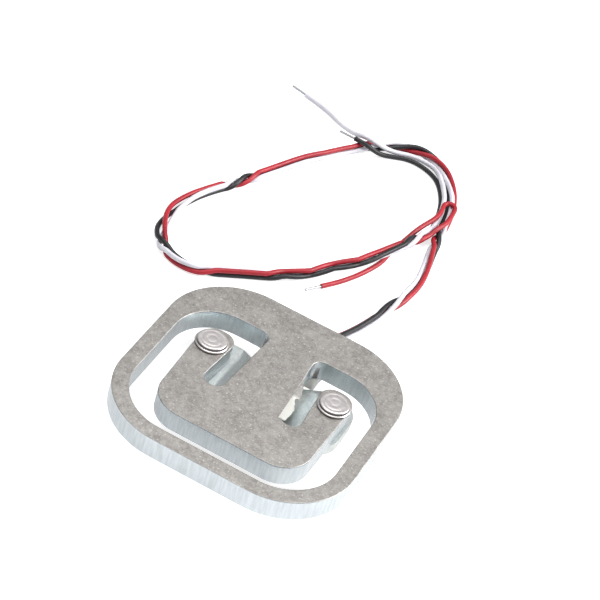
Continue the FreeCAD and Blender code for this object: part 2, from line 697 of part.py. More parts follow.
def add_silicone(inner):
    """The silicone coat over gauges, links and strip, with the space of each piece that it seals left out."""
    coat_half = size("film_width") / 2 + size("coat_margin_side")
    coat_front = gauge_line(-1) - size("film_length") / 2 - size("coat_margin_front")
    coat = rounded_slab(0, coat_half, coat_front, value_of(STRIP_LINE), size("bracket_drop") - size("crown_clearance"))
    cap_half = size("strip_width") / 2 + size("cap_margin_side")
    cap_front = value_of(STRIP_FRONT) - size("cap_margin_front")
    cap_back = value_of(STRIP_FRONT) + size("strip_depth") + size("cap_margin_back")
    inside = size("strip_thickness") + size("pad_thickness") + size("solder_height")
    cap = rounded_slab(size("strip_offset"), cap_half, cap_front, cap_back, inside + size("cap_cover"))
    body = coat.fuse(cap).removeSplitter()
    for piece in inner:
        for solid in piece.Shape.Solids:
            body = body.cut(solid)
    return part_feature("silicone_coating", body)


# ---------------------------------------------------------------- the assembly

nodes = [add_sensing_plate(), add_force_bracket(), add_rivet("rivet_left", -1), add_rivet("rivet_right", 1)]
sealed = add_gauge("front", -1) + add_gauge("back", 1) + add_terminal_strip()
doc.recompute()

left, middle, right = pad_places()
sealed += [add_solder_joint("red", left), add_solder_joint("white", middle), add_solder_joint("black", right)]
sealed.append(add_link_wires())
tails = [add_lead_tail("red", left, 20, 0.5), add_lead_tail("white", middle, 260, 0.6),
         add_lead_tail("black", right, 140, 0.5)]
doc.recompute()
nodes += sealed + tails
nodes.append(add_silicone(sealed + tails))

nodes.append(add_cord("wire_bundle", [VECTOR(*p) for p in BUNDLE_ROUTE], size("bundle_diameter")))
nodes += add_wire_end("white", 120, WHITE_ROUTE)
nodes += add_wire_end("black", 240, BLACK_ROUTE)
nodes += add_wire_end("red", 0, RED_ROUTE)
doc.recompute()

for item in doc.Objects:
    if "Invalid" in item.State or "Error" in item.State:
        raise ValueError(f"{item.Label} did not build: {item.State}")
for node in nodes:
    if node.Shape.isNull() or not node.Shape.isValid() or not node.Shape.Solids:
        raise ValueError(f"{node.Label} has no valid solid")

os.makedirs("parts", exist_ok=True)
for node in nodes:
    node.Shape.exportStep(f"parts/{node.Label}.step")
    box = node.Shape.BoundBox
    print(f"{node.Label}: {len(node.Shape.Solids)} solid, {node.Shape.Volume:.3f} mm3, "
          f"x {box.XMin:.2f}..{box.XMax:.2f} y {box.YMin:.2f}..{box.YMax:.2f} z {box.ZMin:.2f}..{box.ZMax:.2f}")
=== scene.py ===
"""Dresses the half-bridge load cell: plated steel, riveted bracket, sealed gauges and its three-wire lead."""
import math
import random

import bmesh
import bpy
from bpy.props import FloatProperty, FloatVectorProperty, IntProperty, PointerProperty
from mathutils import Matrix, Vector, noise


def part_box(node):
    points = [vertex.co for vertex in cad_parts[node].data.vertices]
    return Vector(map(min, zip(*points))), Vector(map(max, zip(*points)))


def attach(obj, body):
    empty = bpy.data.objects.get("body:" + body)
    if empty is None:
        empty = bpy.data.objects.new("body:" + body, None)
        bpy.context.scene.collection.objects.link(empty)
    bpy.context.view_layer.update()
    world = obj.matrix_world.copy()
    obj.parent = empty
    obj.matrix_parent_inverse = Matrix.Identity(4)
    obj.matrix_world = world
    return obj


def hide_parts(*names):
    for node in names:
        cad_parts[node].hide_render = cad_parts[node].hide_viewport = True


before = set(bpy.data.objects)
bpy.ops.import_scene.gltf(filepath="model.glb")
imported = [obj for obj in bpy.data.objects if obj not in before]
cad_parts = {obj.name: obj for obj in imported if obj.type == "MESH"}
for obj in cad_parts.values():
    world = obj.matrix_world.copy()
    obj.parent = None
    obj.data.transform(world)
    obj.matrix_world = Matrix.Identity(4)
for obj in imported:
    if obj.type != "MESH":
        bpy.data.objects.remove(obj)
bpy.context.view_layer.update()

bl_info = {
    "name": "Half-bridge load cell",
    "version": (1, 0, 0),
    "blender": (4, 5, 0),
    "location": "3D View > Sidebar > Load cell",
    "description": "Builds the looks of a half-bridge load cell around its packed solids",
    "category": "Add Mesh",
}

MM = 0.001
BODY = "root"
# Corners nearer to each other than this are one corner.
SAME_PLACE = 1e-7

# ---------------------------------------------------------------- routes of the lead, in millimetres

# How high the middle of the twisted wires, and of one wire, lies over the floor.
BUNDLE_REST = 0.84
WIRE_REST = 0.38

# The twisted stretch, from behind the plate round its loose loop.
BUNDLE_ROUTE = [
    (1.6, 19.0, 2.4), (2.4, 22.4, 1.9), (3.4, 26.2, 1.1), (4.4, 30.2, BUNDLE_REST),
    (5.2, 34.2, BUNDLE_REST), (6.0, 38.0, BUNDLE_REST), (6.5, 42.0, BUNDLE_REST), (6.0, 46.2, BUNDLE_REST),
    (5.15, 50.0, BUNDLE_REST), (4.5, 53.6, BUNDLE_REST), (4.2, 57.2, BUNDLE_REST), (3.6, 60.8, BUNDLE_REST),
    (2.6, 64.0, BUNDLE_REST), (1.0, 66.9, BUNDLE_REST), (-1.3, 69.9, BUNDLE_REST),
    (-4.1, 71.5, BUNDLE_REST), (-7.6, 71.45, BUNDLE_REST), (-10.5, 69.6, BUNDLE_REST),
    (-13.0, 67.0, BUNDLE_REST), (-15.4, 63.7, BUNDLE_REST), (-17.7, 59.8, BUNDLE_REST),
    (-20.0, 55.3, BUNDLE_REST), (-22.2, 50.0, BUNDLE_REST), (-24.6, 44.6, BUNDLE_REST),
    (-27.1, 39.8, BUNDLE_REST), (-28.5, 36.0, BUNDLE_REST), (-29.1, 31.6, BUNDLE_REST),
    (-28.3, 27.0, BUNDLE_REST), (-26.55, 24.1, BUNDLE_REST), (-23.64, 22.55, BUNDLE_REST),
    (-20.34, 22.72, BUNDLE_REST), (-17.6, 24.57, BUNDLE_REST), (-14.3, 27.0, BUNDLE_REST),
    (-11.1, 29.2, BUNDLE_REST), (-8.0, 32.3, BUNDLE_REST), (-5.3, 36.3, 0.95), (-2.7, 39.5, 1.5),
    (-0.9, 42.4, 1.68), (0.35, 45.5, 1.68), (1.5, 48.7, 1.5), (2.6, 51.9, 1.36),
]

# Each wire before and after the twisted stretch: from its solder joint, and on to its bare tip.
TAIL_ROUTES = {
    "red": [(-1.2, 14.09, 3.56), (-1.2, 15.04, 3.56), (-0.77, 15.97, 3.41), (-0.25, 16.64, 3.21),
            (0.34, 17.31, 2.97), (0.96, 18.18, 2.7), (1.18, 19.12, 2.56)],
    "white": [(0.6, 14.09, 3.56), (0.6, 15.1, 3.56), (0.71, 15.99, 3.27), (0.87, 16.55, 2.92),
              (1.1, 17.08, 2.52), (1.43, 17.93, 2.09), (1.66, 18.92, 1.95)],
    "black": [(2.4, 14.09, 3.56), (2.4, 14.94, 3.56), (2.18, 15.85, 3.43), (1.97, 16.56, 3.26),
              (1.81, 17.26, 3.06), (1.76, 18.14, 2.82), (1.96, 18.96, 2.7)],
}
END_ROUTES = {
    "white": [(2.39, 51.99, 1.76), (2.78, 53.13, 1.71), (3.05, 54.8, 1.35), (2.97, 56.9, 1.08),
              (2.66, 58.8, 1.08), (2.34, 60.4, 1.08), (1.98, 61.85, 1.08), (1.44, 63.45, 1.08),
              (-0.1, 66.2, 1.06), (-2.1, 68.9, 0.9), (-4.5, 70.1, 0.5), (-7.2, 70.0, 0.42),
              (-9.7, 68.5, 0.6), (-11.2, 67.3, 1.55), (-12.7, 66.8, 2.15), (-14.3, 66.75, 2.1),
              (-16.2, 67.4, 1.3), (-18.6, 68.9, 0.5), (-22.9, 71.3, WIRE_REST), (-26.7, 72.2, WIRE_REST)],
    "black": [(2.37, 51.96, 0.96), (2.76, 53.09, 0.91), (2.9, 54.6, 0.5), (2.67, 56.8, WIRE_REST),
              (2.36, 58.8, WIRE_REST), (2.05, 60.45, WIRE_REST), (1.12, 63.35, WIRE_REST),
              (-0.36, 66.0, WIRE_REST), (-1.9, 67.7, WIRE_REST), (-4.4, 68.8, WIRE_REST),
              (-7.0, 68.9, WIRE_REST), (-9.4, 67.55, WIRE_REST), (-10.8, 66.5, 0.6), (-12.1, 65.75, 1.32),
              (-13.2, 65.35, 1.93), (-14.2, 65.22, 2.14), (-15.2, 65.35, 2.04)],
    "red": [(3.04, 51.75, 1.36), (3.43, 52.88, 1.31), (3.84, 54.2, 2.04), (4.35, 55.7, 2.12),
            (4.52, 57.4, 2.08), (4.36, 59.2, 2.02), (4.2, 60.72, 2.05), (3.53, 61.26, 2.1),
            (2.74, 61.08, 2.07), (2.35, 60.42, 1.98), (2.7, 58.8, 1.9), (2.7, 57.2, 1.88),
            (2.35, 55.6, 1.8), (1.75, 54.1, 1.55), (1.25, 52.6, 1.15), (0.85, 51.0, 0.75),
            (0.5, 49.3, 0.45), (0.2, 47.5, WIRE_REST), (0.0, 45.5, WIRE_REST), (-0.02, 43.5, WIRE_REST),
            (-0.56, 41.2, WIRE_REST), (-1.39, 38.7, WIRE_REST), (-2.48, 36.2, WIRE_REST),
            (-3.71, 34.0, WIRE_REST), (-4.75, 32.4, WIRE_REST)],
}

# How the red wire turns about the middle of the bundle: distance along it in millimetres, and degrees from the
# right of travel towards the top. The white and the black wire keep a third of a turn ahead of and behind it.
TWIST = [(0, 160), (4, 200), (13, 212), (17.5, 303), (20, 366), (26, 409), (33, 445), (38, 670), (46, 700),
         (50, 745), (56.5, 850), (61, 979), (66, 1097), (70, 1183), (75, 1183), (79, 1140), (88, 1140),
         (91, 1267), (94.8, 1448), (101, 1452), (105, 1468), (109, 1531), (112.3, 1590), (115.3, 1730),
         (118, 1745), (120.5, 1765), (123, 1856), (130.5, 1860), (133, 1945), (137, 1871), (141, 1943),
         (145, 1880), (149, 1953), (154, 1974), (158.3, 2160)]
TURN_FROM_RED = {"red": 0.0, "white": 120.0, "black": -120.0}
# How far the three wires stand off sideways, where the twist has come loose.
LOOSENESS = [(0, 0.47), (8, 0.5), (98, 0.5), (104, 0.74), (110, 0.74), (115, 0.52), (150, 0.5),
             (158.3, 0.47)]
HEIGHT_IN_BUNDLE = 0.46
# The places along a wire keep at least this far apart, within the twist and over its whole length.
STEP_IN_BUNDLE, STEP_OF_A_WIRE = 0.3, 0.12
STEPS_BETWEEN_POINTS = 14
ROUNDNESS_OF_A_WIRE = 3


def srgb(text):
    """The linear colour of a hex value such as b0aca8."""
    channels = [int(text[i:i + 2], 16) / 255 for i in (0, 2, 4)]
    return [c / 12.92 if c <= 0.04045 else ((c + 0.055) / 1.055) ** 2.4 for c in channels]


def colour(name, text, description):
    """A colour that a user may change; its default is a hex value."""
    return FloatVectorProperty(name=name, description=description, default=srgb(text), subtype="COLOR",
                               size=3, min=0.0, max=1.0)


class LoadCellSizes(bpy.types.PropertyGroup):
    """Sizes of what the solids leave plain."""
    wire: FloatProperty(name="Wire", description="Outer diameter of one insulated wire", default=0.75 * MM,
                        min=0.4 * MM, max=1.2 * MM, unit="LENGTH", precision=5)
    ring_groove: FloatProperty(name="Rivet rings", description="Depth of the rings on the heads of the rivets",
                               default=0.025 * MM, min=0.0, max=0.1 * MM, unit="LENGTH", precision=6)
    burr: FloatProperty(name="Burr", description="How far the burr stands out from the beam's edge",
                        default=1.0 * MM, min=0.0, max=1.4 * MM, unit="LENGTH", precision=5)
    coat_lumps: FloatProperty(name="Coat lumps", description="Height of the lumps in the hand-laid silicone",
                              default=0.14 * MM, min=0.0, max=0.3 * MM, unit="LENGTH", precision=6)
    seed: IntProperty(name="Seed", description="Starts the chance in the burr's teeth", default=7, min=1)


class LoadCellColours(bpy.types.PropertyGroup):
    """Colours of the finishes."""
    plate: colour("Plate", "c0bcb8", "Dull zinc on the rolled face")
    plate_dark: colour("Plate, dark", "807c77", "Dark grain of the rolled face")
    # Bright and bluish: partly the sheared steel's own finish, partly painted reflection of the white floor.
    cut_wall_with_reflection: colour("Cut wall", "d3dade", "Bright sheared wall of the stamping")
    # Near white: burnished steel, with a painted highlight.
    burr: colour("Burr", "fbfaf4", "Steel burnished where it tore")
    bracket: colour("Bracket", "e2e6e4", "Zinc on the strap")
    bracket_dark: colour("Bracket, dark", "b9bfbd", "Dark grain of the strap")
    rivet: colour("Rivet", "dcd6d4", "Upset head of a rivet")
    red: colour("Red wire", "a81828", "Red insulation")
    white: colour("White wire", "e0dee6", "White insulation")
    black: colour("Black wire", "1b1b1f", "Black insulation")
    silicone: colour("Silicone", "f2f2ee", "Sealing compound")
    film: colour("Film", "c07a22", "Polyimide carrier of the gauges")
    foil: colour("Foil", "b8a080", "Constantan grid")
    board: colour("Board", "4d6b35", "Glass-fibre board of the strip")
    copper: colour("Copper", "c98a5a", "Pads and lacquered wire")
    solder: colour("Solder", "c4c6ca", "Tin of the joints and tips")


# ---------------------------------------------------------------- materials


def add_node(tree, kind, settings=None, **links):
    """Adds a node, sets its attributes and inputs, and links the inputs that get a socket."""
    node = tree.nodes.new(kind)
    for key, value in (settings or {}).items():
        if key.startswith("in:"):
            name = key[3:]
            node.inputs[int(name) if name.isdigit() else name].default_value = value
        else:
            setattr(node, key, value)
    for key, socket in links.items():
        name = key.replace("_", " ")
        target = node.inputs[int(key[1:])] if key[0] == "i" and key[1:].isdigit() else node.inputs[name]
        tree.links.new(socket, target)
    return node


def new_material(name, base, roughness, metallic=0.0, **extra):
    """A material with its shader; base is a linear colour, and extra sets the shader's own sockets."""
    material = bpy.data.materials.new(name)
    material.use_nodes = True
    tree = material.node_tree
    shader = next(n for n in tree.nodes if n.type == "BSDF_PRINCIPLED")
    shader.inputs["Base Color"].default_value = (*base, 1)
    shader.inputs["Roughness"].default_value = roughness
    shader.inputs["Metallic"].default_value = metallic
    for key, value in extra.items():
        shader.inputs[key.replace("_", " ")].default_value = value
    material.diffuse_color = (*base, 1)
    return material, tree, shader


def mixed(tree, factor, first, second):
    """A colour between two, each a linear colour or a socket."""
    node = add_node(tree, "ShaderNodeMix", {"data_type": "RGBA"}, i0=factor)
    for index, value in ((6, first), (7, second)):
        if isinstance(value, bpy.types.NodeSocket):
            tree.links.new(value, node.inputs[index])
        else:
            node.inputs[index].default_value = (*value, 1)
    return node.outputs[2]


def ramp(tree, socket, low, high, at_low=0.0, at_high=1.0):
    """Stretches a value between low and high over the range from at_low to at_high."""
    limits = {"in:From Min": low, "in:From Max": high, "in:To Min": at_low, "in:To Max": at_high, "clamp": True}
    return add_node(tree, "ShaderNodeMapRange", limits, Value=socket).outputs[0]


def grain(tree, where, size_mm, detail=3.0, rough=0.55, stretch=(1, 1, 1)):
    """Noise whose grains are about size_mm across."""
    place = add_node(tree, "ShaderNodeMapping", {"in:Scale": stretch}, Vector=where)
    settings = {"in:Scale": 1 / (size_mm * MM), "in:Detail": detail, "in:Roughness": rough}
    return add_node(tree, "ShaderNodeTexNoise", settings, Vector=place.outputs[0]).outputs[0]


def bumped(tree, shader, height, depth_mm, strength):
    """Gives the shader relief of a depth in millimetres."""
    settings = {"in:Strength": strength, "in:Distance": depth_mm * MM}
    relief = add_node(tree, "ShaderNodeBump", settings, Height=height)
    tree.links.new(relief.outputs[0], shader.inputs["Normal"])


def darker(base, share):
    """That share of a linear colour's light."""
    return [share * channel for channel in base]


def upright(tree, normal, level, steep):
    """0 where the surface is as level as the first value says, 1 where it is as steep as the second."""
    up = add_node(tree, "ShaderNodeSeparateXYZ", None, Vector=normal).outputs["Z"]
    either_way = add_node(tree, "ShaderNodeMath", {"operation": "ABSOLUTE"}, i0=up).outputs[0]
    return ramp(tree, either_way, level, steep)


def plated_sheet(name, face, dark, wall, face_rough, wall_rough):
    """Zinc-plated steel sheet, stamped: a dull mottled rolled face, a smooth sheared wall in its own colour,
    which on the sensing plate is bright and partly painted reflection.
    """
    material, tree, shader = new_material(name, face, face_rough, 0.85)
    where = add_node(tree, "ShaderNodeTexCoord")
    place, normal = where.outputs["Object"], where.outputs["Normal"]
    # The rolled face shows a cloudy dull zinc with grains a quarter of a millimetre across and bright flecks.
    cloud = ramp(tree, grain(tree, place, 3.2, 3.0, 0.6), 0.36, 0.64)
    crystal = ramp(tree, grain(tree, place, 0.6, 5.0, 0.75), 0.36, 0.64)
    fine = ramp(tree, grain(tree, place, 0.17, 2.0, 0.6), 0.34, 0.66)
    uneven = add_node(tree, "ShaderNodeMath", {"operation": "MULTIPLY_ADD", "in:1": 0.5}, i0=crystal,
                      i2=ramp(tree, cloud, 0, 1, 0.0, 0.22)).outputs[0]
    uneven = add_node(tree, "ShaderNodeMath", {"operation": "MULTIPLY_ADD", "in:1": 0.3}, i0=fine,
                      i2=uneven).outputs[0]
    rolled = mixed(tree, uneven, dark, face)
    fleck = ramp(tree, grain(tree, place, 0.3, 1.0, 0.5), 0.66, 0.74, 0.0, 0.7)
    rolled = mixed(tree, fleck, rolled, srgb("dedad6"))
    # Upright walls are sheared smooth, with streaks a third of a millimetre wide down the way of the punch; the
    # sensing plate's pale bluish wall colour is partly painted reflection of the white floor.
    is_wall = upright(tree, normal, 0.75, 0.3)
    streaks = ramp(tree, grain(tree, place, 0.35, 3.0, 0.5, (1.0, 1.0, 0.12)), 0.35, 0.65)
    sheared = mixed(tree, streaks, darker(wall, 0.86), wall)
    tree.links.new(mixed(tree, is_wall, rolled, sheared), shader.inputs["Base Color"])
    tree.links.new(ramp(tree, is_wall, 0.0, 1.0, face_rough, wall_rough), shader.inputs["Roughness"])
    relief = add_node(tree, "ShaderNodeMath", {"operation": "ADD"}, i0=crystal, i1=fine).outputs[0]
    bumped(tree, shader, relief, 0.012, 0.6)
    return material


def turned_metal(name, base):
    """Upset rivet steel: smooth where the snap pressed it, with faint rings, and painted shade on the side of
    the head.
    """
    material, tree, shader = new_material(name, base, 0.34, 0.8)
    where = add_node(tree, "ShaderNodeTexCoord")
    place, normal = where.outputs["Object"], where.outputs["Normal"]
    cloud = ramp(tree, grain(tree, place, 0.9, 3.0, 0.6), 0.35, 0.65)
    pressed = mixed(tree, cloud, darker(base, 0.84), base)
    # The side of the head is painted dark: painted shade of the gap where the head overhangs the plate.
    side = upright(tree, normal, 0.7, 0.25)
    tree.links.new(mixed(tree, side, pressed, darker(base, 0.24)), shader.inputs["Base Color"])
    tree.links.new(ramp(tree, grain(tree, place, 0.3, 2.0), 0.3, 0.7, 0.28, 0.42), shader.inputs["Roughness"])
    bumped(tree, shader, grain(tree, place, 0.25, 3.0), 0.008, 0.5)
    return material


def soft_pvc(name, base):
    """Extruded soft PVC insulation: an even skin with a soft sheen and slight handling marks."""
    rough = 0.42
    material, tree, shader = new_material(name, base, rough, 0.0, Specular_IOR_Level=0.5)
    where = add_node(tree, "ShaderNodeTexCoord").outputs["Object"]
    cloud = ramp(tree, grain(tree, where, 3.5, 3.0), 0.35, 0.65)
    lighter = [min(1, channel * 1.08) for channel in base]
    tree.links.new(mixed(tree, cloud, darker(base, 0.82), lighter), shader.inputs["Base Color"])
    handled = ramp(tree, grain(tree, where, 0.8, 2.0), 0.3, 0.7, rough - 0.07, rough + 0.1)
    tree.links.new(handled, shader.inputs["Roughness"])
    bumped(tree, shader, grain(tree, where, 0.5, 3.0), 0.01, 0.4)
    return material


def tinned(name, base, rough):
    """Tin that has flowed: bright, a little wavy and dulled in patches."""
    material, tree, shader = new_material(name, base, rough, 0.9)
    where = add_node(tree, "ShaderNodeTexCoord").outputs["Object"]
    cloud = ramp(tree, grain(tree, where, 0.4, 3.0), 0.35, 0.65)
    tree.links.new(mixed(tree, cloud, darker(base, 0.78), base), shader.inputs["Base Color"])
    tree.links.new(ramp(tree, cloud, 0, 1, rough + 0.14, rough), shader.inputs["Roughness"])
    bumped(tree, shader, grain(tree, where, 0.5, 2.0), 0.02, 0.5)
    return material


def cured_silicone(name, base):
    """White one-part silicone laid on by hand: milky, with a dull skin and fine dust."""
    material, tree, shader = new_material(name, base, 0.46, 0.0, Subsurface_Weight=0.25,
                                          Subsurface_Scale=0.4 * MM)
    where = add_node(tree, "ShaderNodeTexCoord").outputs["Object"]
    cloud = ramp(tree, grain(tree, where, 1.8, 4.0), 0.35, 0.68)
    dust = ramp(tree, grain(tree, where, 0.18, 2.0), 0.66, 0.74)
    milky = mixed(tree, cloud, darker(base, 0.88), base)
    tree.links.new(mixed(tree, dust, milky, srgb("b7b3a8")), shader.inputs["Base Color"])
    tree.links.new(ramp(tree, cloud, 0, 1, 0.4, 0.56), shader.inputs["Roughness"])
    bumped(tree, shader, grain(tree, where, 0.7, 3.0), 0.04, 0.5)
    return material


def thin_sheet(name, base, rough, metallic, mottle_mm, depth_mm):
    """A thin layer, such as rolled film, etched foil or pressed board: even, with a faint mottle of its own."""
    material, tree, shader = new_material(name, base, rough, metallic)
    where = add_node(tree, "ShaderNodeTexCoord").outputs["Object"]
    cloud = ramp(tree, grain(tree, where, mottle_mm, 4.0), 0.35, 0.65)
    tree.links.new(mixed(tree, cloud, darker(base, 0.8), base), shader.inputs["Base Color"])
    tree.links.new(ramp(tree, cloud, 0, 1, rough - 0.06, rough + 0.08), shader.inputs["Roughness"])
    bumped(tree, shader, grain(tree, where, mottle_mm / 2, 2.0), depth_mm, 0.5)
    return material


def torn_steel(name, bright, dull):
    """Sheet torn by the punch: burnished near white where it curled, with a painted highlight there, dull and
    scratched further back.
    """
    material, tree, shader = new_material(name, bright, 0.35, 0.1)
    where = add_node(tree, "ShaderNodeTexCoord").outputs["Object"]
    along = add_node(tree, "ShaderNodeSeparateXYZ", None, Vector=where).outputs["Y"]
    # Up to 1.7 mm along the beam it is near white, burnished and with a painted highlight; from 2.3 mm on it
    # turns dull.
    back = ramp(tree, along, 1.7 * MM, 2.3 * MM)
    scratch = ramp(tree, grain(tree, where, 0.12, 2.0, 0.5, (0.25, 1.0, 1.0)), 0.45, 0.62, 1.0, 0.55)
    patch = add_node(tree, "ShaderNodeMath", {"operation": "MULTIPLY"}, i0=back, i1=scratch).outputs[0]
    tree.links.new(mixed(tree, patch, bright, dull), shader.inputs["Base Color"])
    bumped(tree, shader, grain(tree, where, 0.2, 2.0), 0.02, 0.5)
    return material


def dress(obj, material):
    """Gives every face of the piece that one material."""
    obj.data.materials.clear()
    obj.data.materials.append(material)
    if obj.type == "MESH":
        obj.data.polygons.foreach_set("material_index", [0] * len(obj.data.polygons))


# ---------------------------------------------------------------- pieces


# Faces that meet at more than this angle have a sharp edge: on solids of flats and arcs, on turned rivets, and
# on what was torn, laid on or extruded.
SHARP_ON_SOLIDS, SHARP_ON_TURNED, SHARP_ON_SOFT = 32.0, 40.0, 50.0


def place_piece(name, mesh, stands_for=()):
    """Links a finished mesh as a piece that rides on the cell."""
    obj = bpy.data.objects.new(name, mesh)
    bpy.context.scene.collection.objects.link(obj)
    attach(obj, BODY)
    if stands_for:
        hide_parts(*stands_for)
    return obj


def shade(mesh, angle):
    """Smooth shading, with sharp edges where the faces meet at more than the angle."""
    mesh.polygons.foreach_set("use_smooth", [True] * len(mesh.polygons))
    mesh.set_sharp_from_angle(angle=math.radians(angle))


def finished(shape, mesh, angle):
    """Writes the shape into the mesh, frees it and shades the mesh."""
    shape.to_mesh(mesh)
    shape.free()
    shade(mesh, angle)
    return mesh


def shape_of(mesh):
    """A mesh opened for modelling."""
    shape = bmesh.new()
    shape.from_mesh(mesh)
    return shape


def merged_copy(node):
    """A mesh of the solid's own faces with their shared corners joined."""
    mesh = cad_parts[node].data.copy()
    shape = shape_of(mesh)
    bmesh.ops.remove_doubles(shape, verts=shape.verts, dist=SAME_PLACE)
    bmesh.ops.dissolve_degenerate(shape, edges=shape.edges, dist=SAME_PLACE / 10)
    return finished(shape, mesh, SHARP_ON_SOLIDS)


def smoothed_node(name, node, material):
    """A piece in the solid's own shape, smooth over its arcs and level on its flats."""
    obj = place_piece(name, merged_copy(node), [node])
    level = obj.modifiers.new("level_faces", "WEIGHTED_NORMAL")
    level.keep_sharp = True
    dress(obj, material)
    return obj


def colours():
    return bpy.context.scene.load_cell_colours


def sizes():
    return bpy.context.scene.load_cell_sizes


# The torn lip, in millimetres from the plate's middle: where it begins and ends along the beam, the beam's half
# width there, and how far it reaches out as a share of the burr's size.
BURR_FROM, BURR_TO, BURR_STEPS = -3.0, 5.3, 66
BEAM_EDGE = [(-3.4, 4.3), (10.3, 3.6)]
BURR_THICKNESS = 0.05
# It grips the sheet at its root, bulges a little over the surface, and hangs at its ragged tip.
BURR_ROOT = (-0.1, 0.004)
BURR_BULGE_AT, BURR_BULGE = 0.45, (0.05, 0.09)
BURR_HANG, BURR_RAGGED = (-0.16, -0.08), 0.05
BURR_REACH = [(-3.0, 0.3), (-2.9, 0.85), (-1.3, 1.05), (-0.35, 1.05), (0.6, 0.75), (1.2, 0.5), (1.75, 0.35),
              (1.85, 0.9), (2.4, 0.8), (2.9, 0.85), (3.4, 0.55), (4.0, 0.55), (4.6, 0.25), (5.3, 0.05)]


class LOADCELL_OT_plate(bpy.types.Operator):
    """Dresses the stamped sensing plate and adds the burr on its beam"""
    bl_idname = "loadcell.plate"
    bl_label = "Sensing plate"

    def execute(self, context):
        tint = colours()
        steel = plated_sheet("Zinc-plated steel, stamped", tint.plate, tint.plate_dark, tint.cut_wall_with_reflection,
                             0.46, 0.2)
        smoothed_node("plate_of_cell", "sensing_plate", steel)
        self.add_burr()
        return {"FINISHED"}

    def add_burr(self):
        """A torn lip of the sheet along the beam's right edge, curled out over the slot."""
        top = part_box("sensing_plate")[1].z
        chance = random.Random(sizes().seed)
        shape = bmesh.new()
        rows = []
        for i in range(BURR_STEPS + 1):
            y = BURR_FROM + (BURR_TO - BURR_FROM) * i / BURR_STEPS
            edge = between(BEAM_EDGE, y) * MM
            reach = between(BURR_REACH, y) * sizes().burr + chance.uniform(-BURR_RAGGED, BURR_RAGGED) * MM
            places = [(BURR_ROOT[0] * MM, BURR_ROOT[1]), (reach * BURR_BULGE_AT, chance.uniform(*BURR_BULGE)),
                      (reach, chance.uniform(*BURR_HANG))]
            rows.append([shape.verts.new((edge + across, y * MM, top + lift * MM)) for across, lift in places])
        for row, following in zip(rows, rows[1:]):
            for side in (0, 1):
                shape.faces.new((row[side], row[side + 1], following[side + 1], following[side]))
        bmesh.ops.solidify(shape, geom=shape.faces[:], thickness=BURR_THICKNESS * MM)
        bmesh.ops.recalc_face_normals(shape, faces=shape.faces)
        mesh = finished(shape, bpy.data.meshes.new("burr_on_beam"), SHARP_ON_SOFT)
        burr = place_piece("burr_on_beam", mesh)
        dress(burr, torn_steel("Torn zinc-plated steel", colours().burr, colours().plate))


class LOADCELL_OT_bracket(bpy.types.Operator):
    """Dresses the folded force bracket"""
    bl_idname = "loadcell.bracket"
    bl_label = "Force bracket"

    def execute(self, context):
        tint = colours()
        steel = plated_sheet("Zinc-plated steel, folded", tint.bracket, tint.bracket_dark, tint.bracket,
                             0.42, 0.4)
        smoothed_node("bracket_of_cell", "force_bracket", steel)
        return {"FINISHED"}


# A rivet as in the solids, in millimetres: the radius of the flat on its head, of the head and of the shank,
# and the height of the foot.
RIVET_FLAT, RIVET_HEAD, RIVET_SHANK, RIVET_FOOT = 1.9, 2.3, 1.5, 0.7
RIVET_STEPS = 72


class LOADCELL_OT_rivets(bpy.types.Operator):
    """Turns the two rivets, with the rings that the snap left on their heads"""
    bl_idname = "loadcell.rivets"
    bl_label = "Rivets"

    def execute(self, context):
        metal = turned_metal("Upset steel, smooth", colours().rivet)
        for side in ("left", "right"):
            rivet = self.turned(f"rivet_{side}")
            dress(rivet, metal)
        return {"FINISHED"}

    def turned(self, node):
        low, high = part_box(node)
        centre = (low + high) / 2
        groove = sizes().ring_groove / MM
        top, base = high.z / MM, low.z / MM
        seat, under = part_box("sensing_plate")[1].z / MM, base + RIVET_FOOT
        foot = (high.x - low.x) / 2 / MM
        # Radius and height: the rings that the snap left, the stepped side of the head, the shank and the foot.
        profile = [(0, top - 0.02), (0.55, top), (0.66, top - groove), (0.78, top), (1.38, top - 0.005),
                   (1.48, top - groove * 1.4), (1.6, top), (RIVET_FLAT, top - 0.015),
                   (RIVET_FLAT + 0.1, top - 0.06), (RIVET_FLAT + 0.15, top - 0.16),
                   (RIVET_FLAT + 0.19, seat + 0.34), (RIVET_HEAD - 0.04, seat + 0.28),
                   (RIVET_HEAD, seat + 0.22), (RIVET_HEAD, seat + 0.08), (RIVET_HEAD - 0.1, seat),
                   (RIVET_SHANK, seat), (RIVET_SHANK, under), (foot, under), (foot, base + 0.34),
                   (foot - 0.1, base + 0.12), (foot - 0.34, base), (1.2, base), (1.0, base + 0.05),
                   (0, base + 0.06)]
        shape = bmesh.new()
        verts = [shape.verts.new((centre.x + radius * MM, centre.y, height * MM)) for radius, height in profile]
        edges = [shape.edges.new(pair) for pair in zip(verts, verts[1:])]
        bmesh.ops.spin(shape, geom=verts + edges, cent=(centre.x, centre.y, 0), axis=(0, 0, 1), angle=math.tau,
                       steps=RIVET_STEPS, use_merge=True)
        bmesh.ops.remove_doubles(shape, verts=shape.verts, dist=SAME_PLACE)
        bmesh.ops.recalc_face_normals(shape, faces=shape.faces)
        mesh = finished(shape, bpy.data.meshes.new(f"{node}_turned"), SHARP_ON_TURNED)
        return place_piece(f"{node}_turned", mesh, [node])


